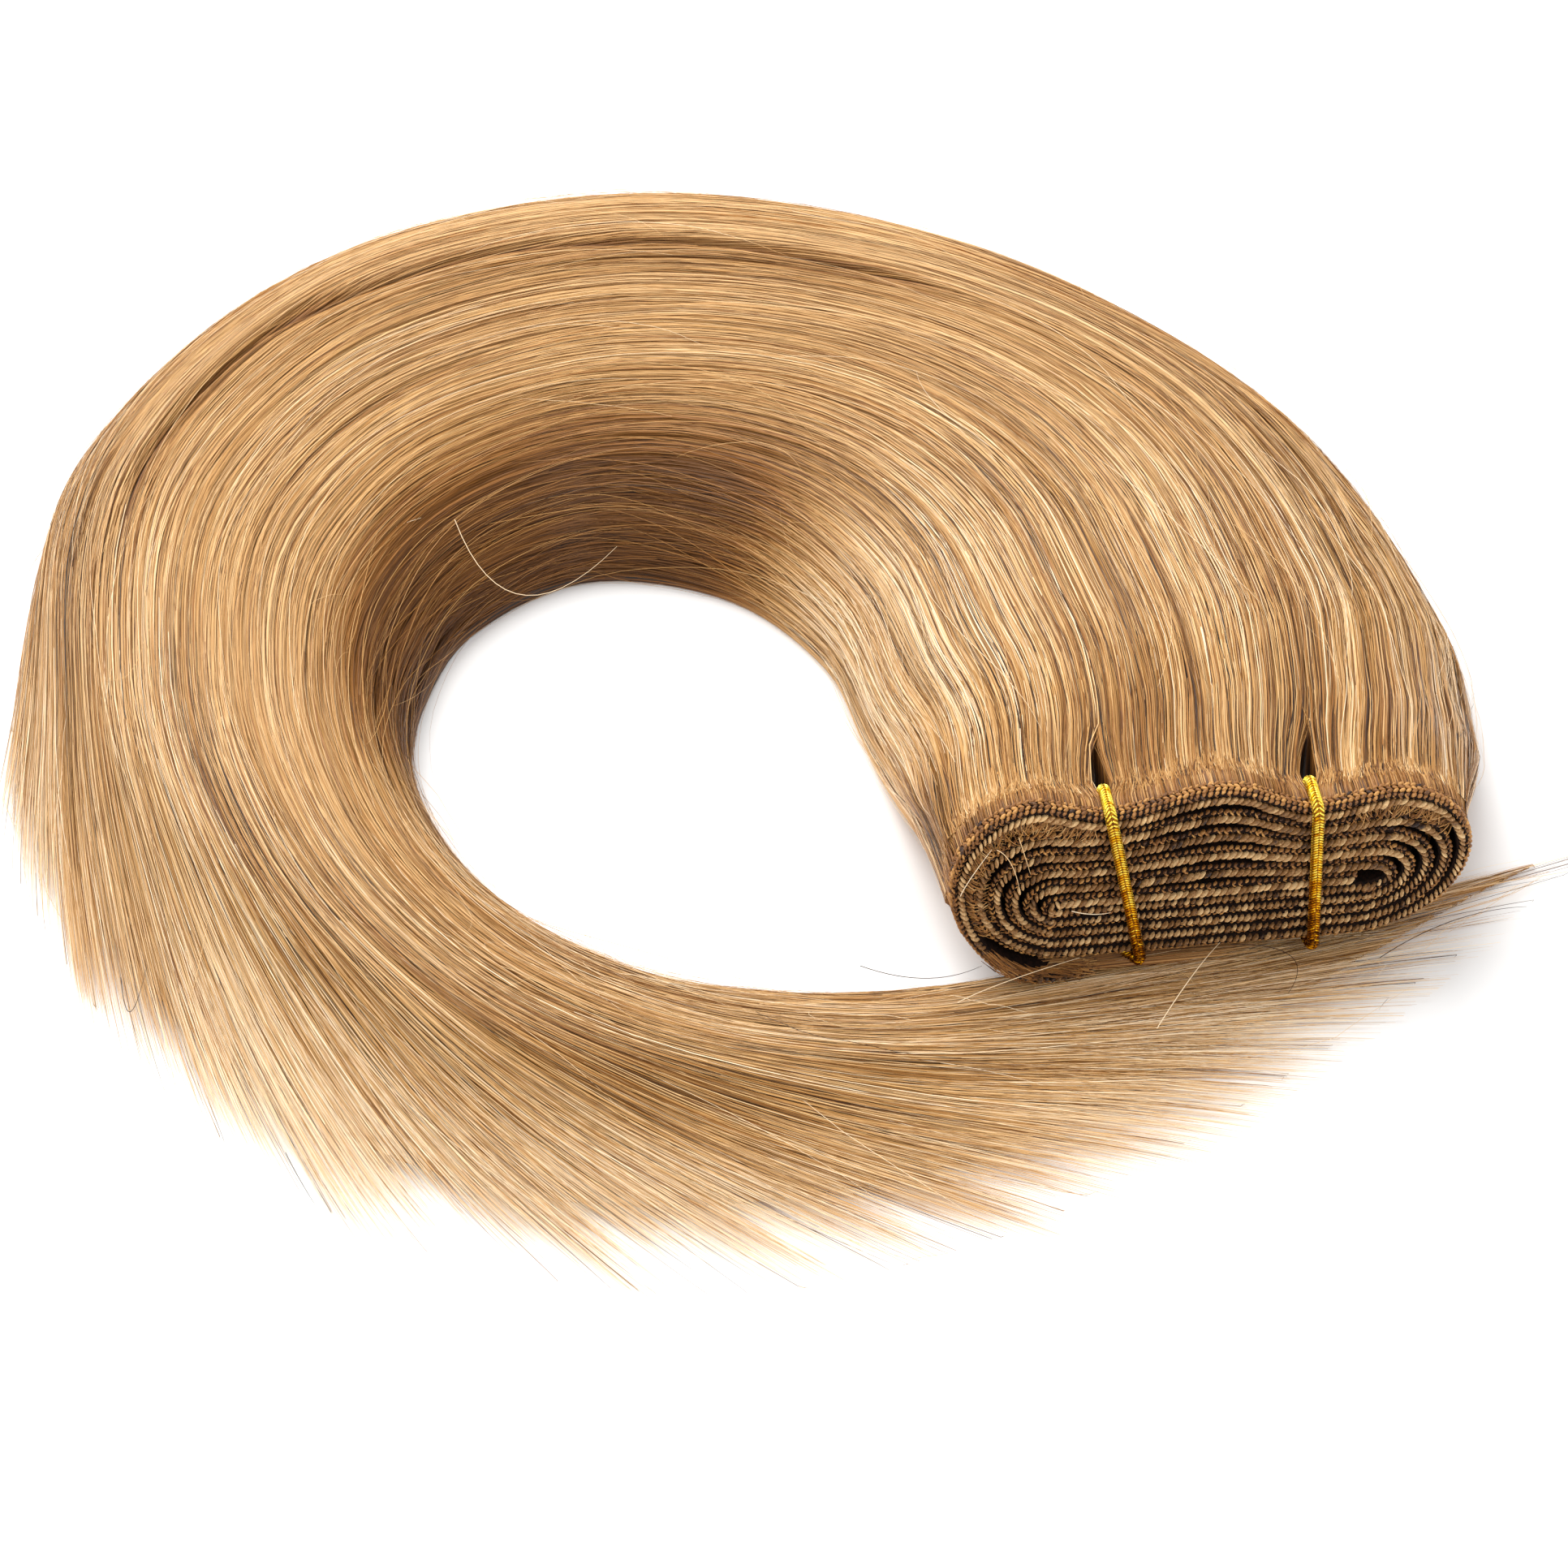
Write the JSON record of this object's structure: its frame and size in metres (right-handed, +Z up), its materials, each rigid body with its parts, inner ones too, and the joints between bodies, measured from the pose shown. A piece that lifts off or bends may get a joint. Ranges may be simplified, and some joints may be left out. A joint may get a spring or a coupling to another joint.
{
  "type": "human hair weft extension",
  "caption": "Coiled bundle of straight blonde human hair on a rolled machine weft held by gold elastic ties, lying in a loop with fanned tips.",
  "frame": {"origin": "on the surface it lies on, under the middle of the whole object's box", "axes": "+Z up from the surface, +X towards the side with the rolled weft, -Y towards the weft's stitched face and the fanned tips"},
  "size_m": [0.2696, 0.2764, 0.0402],
  "materials": {
    "blonde_hair": "silky strands",
    "stitched_weft": "matte stitched thread",
    "gold_elastic": "metallic braid"
  },
  "bodies": {
    "root": {"hair_fall": "blonde_hair", "weft_band": "stitched_weft", "tie_left": "gold_elastic", "tie_right": "gold_elastic"}
  },
  "joints": []
}
